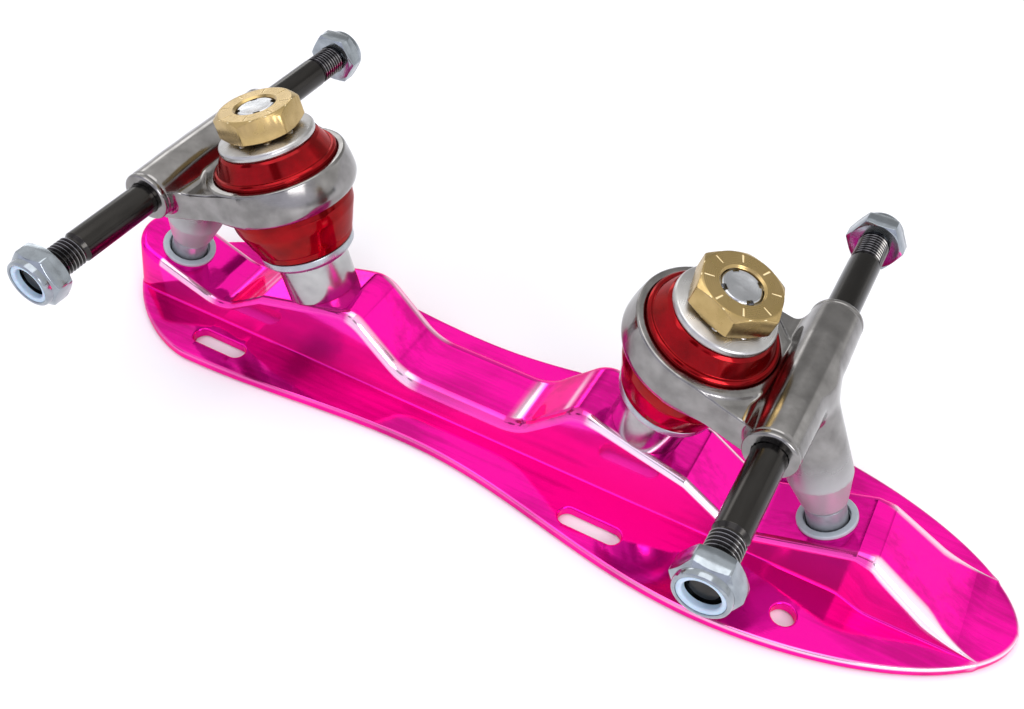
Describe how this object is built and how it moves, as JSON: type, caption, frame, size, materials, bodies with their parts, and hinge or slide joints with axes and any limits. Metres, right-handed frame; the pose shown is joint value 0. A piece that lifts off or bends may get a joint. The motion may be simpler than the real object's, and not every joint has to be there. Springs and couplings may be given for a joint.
{
  "type": "roller skate plate",
  "caption": "Foot-shaped anodised skate plate lying boot face down, with a raised spine and cushioned trucks that lean and steer on angled pivots; wheels not fitted.",
  "frame": {"origin": "on the flat boot face, on the plane of symmetry, midway between the two axles", "axes": "+X from heel to toe, +Y to the plate's far side in the picture, +Z away from the boot face toward the trucks"},
  "size_m": [0.2615, 0.1246, 0.0771],
  "materials": {
    "plate": "glossy pink anodised",
    "kingpin_steel": "turned",
    "collar": "polished",
    "cup_zinc": "zinc plated",
    "cushion": "glossy translucent urethane",
    "retainer_steel": "satin",
    "brass": "turned",
    "hanger": "polished casting",
    "pin_steel": "satin",
    "pivot_plastic": "satin",
    "axle_steel": "black oxide",
    "nut_zinc": "bright zinc",
    "nylon": "plain"
  },
  "bodies": {
    "plate_body": {"plate": "plate", "front_kingpin": "kingpin_steel", "front_collar": "collar", "front_bottom_cup": "cup_zinc", "front_bottom_cushion": "cushion", "front_top_cushion": "cushion", "front_pivot_cup": "pivot_plastic", "rear_kingpin": "kingpin_steel", "rear_collar": "collar", "rear_bottom_cup": "cup_zinc", "rear_bottom_cushion": "cushion", "rear_top_cushion": "cushion", "rear_pivot_cup": "pivot_plastic"},
    "front_truck": {"front_hanger": "hanger", "front_pivot_pin": "pin_steel", "front_axle": "axle_steel", "front_nut_left": "nut_zinc", "front_nut_right": "nut_zinc", "front_insert_left": "nylon", "front_insert_right": "nylon"},
    "front_washer": {"front_retainer": "retainer_steel"},
    "front_adjuster": {"front_adjuster_nut": "brass"},
    "rear_truck": {"rear_hanger": "hanger", "rear_pivot_pin": "pin_steel", "rear_axle": "axle_steel", "rear_nut_left": "nut_zinc", "rear_nut_right": "nut_zinc", "rear_insert_left": "nylon", "rear_insert_right": "nylon"},
    "rear_washer": {"rear_retainer": "retainer_steel"},
    "rear_adjuster": {"rear_adjuster_nut": "brass"}
  },
  "joints": [
    {"name": "front_steer", "type": "hinge", "parent": "plate_body", "child": "front_truck", "pos_m": [0.05839, 0, 0.05499], "axis": [-0.6959, 0, 0.7181], "range_deg": [-10, 10], "stiffness_Nm_per_rad": 15, "deforming": ["front_top_cushion", "front_bottom_cushion"]},
    {"name": "front_adjuster_lift", "type": "slide", "parent": "plate_body", "child": "front_washer", "axis": [0.2756, 0, 0.9613], "range_m": [0, 0.00125]},
    {"name": "front_adjuster_turn", "type": "hinge", "parent": "front_washer", "child": "front_adjuster", "pos_m": [0.04905, 0, 0.0224], "axis": [0.2756, 0, 0.9613], "range_deg": [0, 360]},
    {"name": "rear_steer", "type": "hinge", "parent": "plate_body", "child": "rear_truck", "pos_m": [-0.05839, 0, 0.05499], "axis": [0.6959, 0, 0.7181], "range_deg": [-10, 10], "stiffness_Nm_per_rad": 15, "deforming": ["rear_top_cushion", "rear_bottom_cushion"]},
    {"name": "rear_adjuster_lift", "type": "slide", "parent": "plate_body", "child": "rear_washer", "axis": [-0.2756, 0, 0.9613], "range_m": [0, 0.00125]},
    {"name": "rear_adjuster_turn", "type": "hinge", "parent": "rear_washer", "child": "rear_adjuster", "pos_m": [-0.04905, 0, 0.0224], "axis": [-0.2756, 0, 0.9613], "range_deg": [0, 360]}
  ],
  "couplings": [
    {"joint": "front_adjuster_turn", "follows": "front_adjuster_lift", "rad_per_m": 5026.5},
    {"joint": "rear_adjuster_turn", "follows": "rear_adjuster_lift", "rad_per_m": 5026.5}
  ]
}
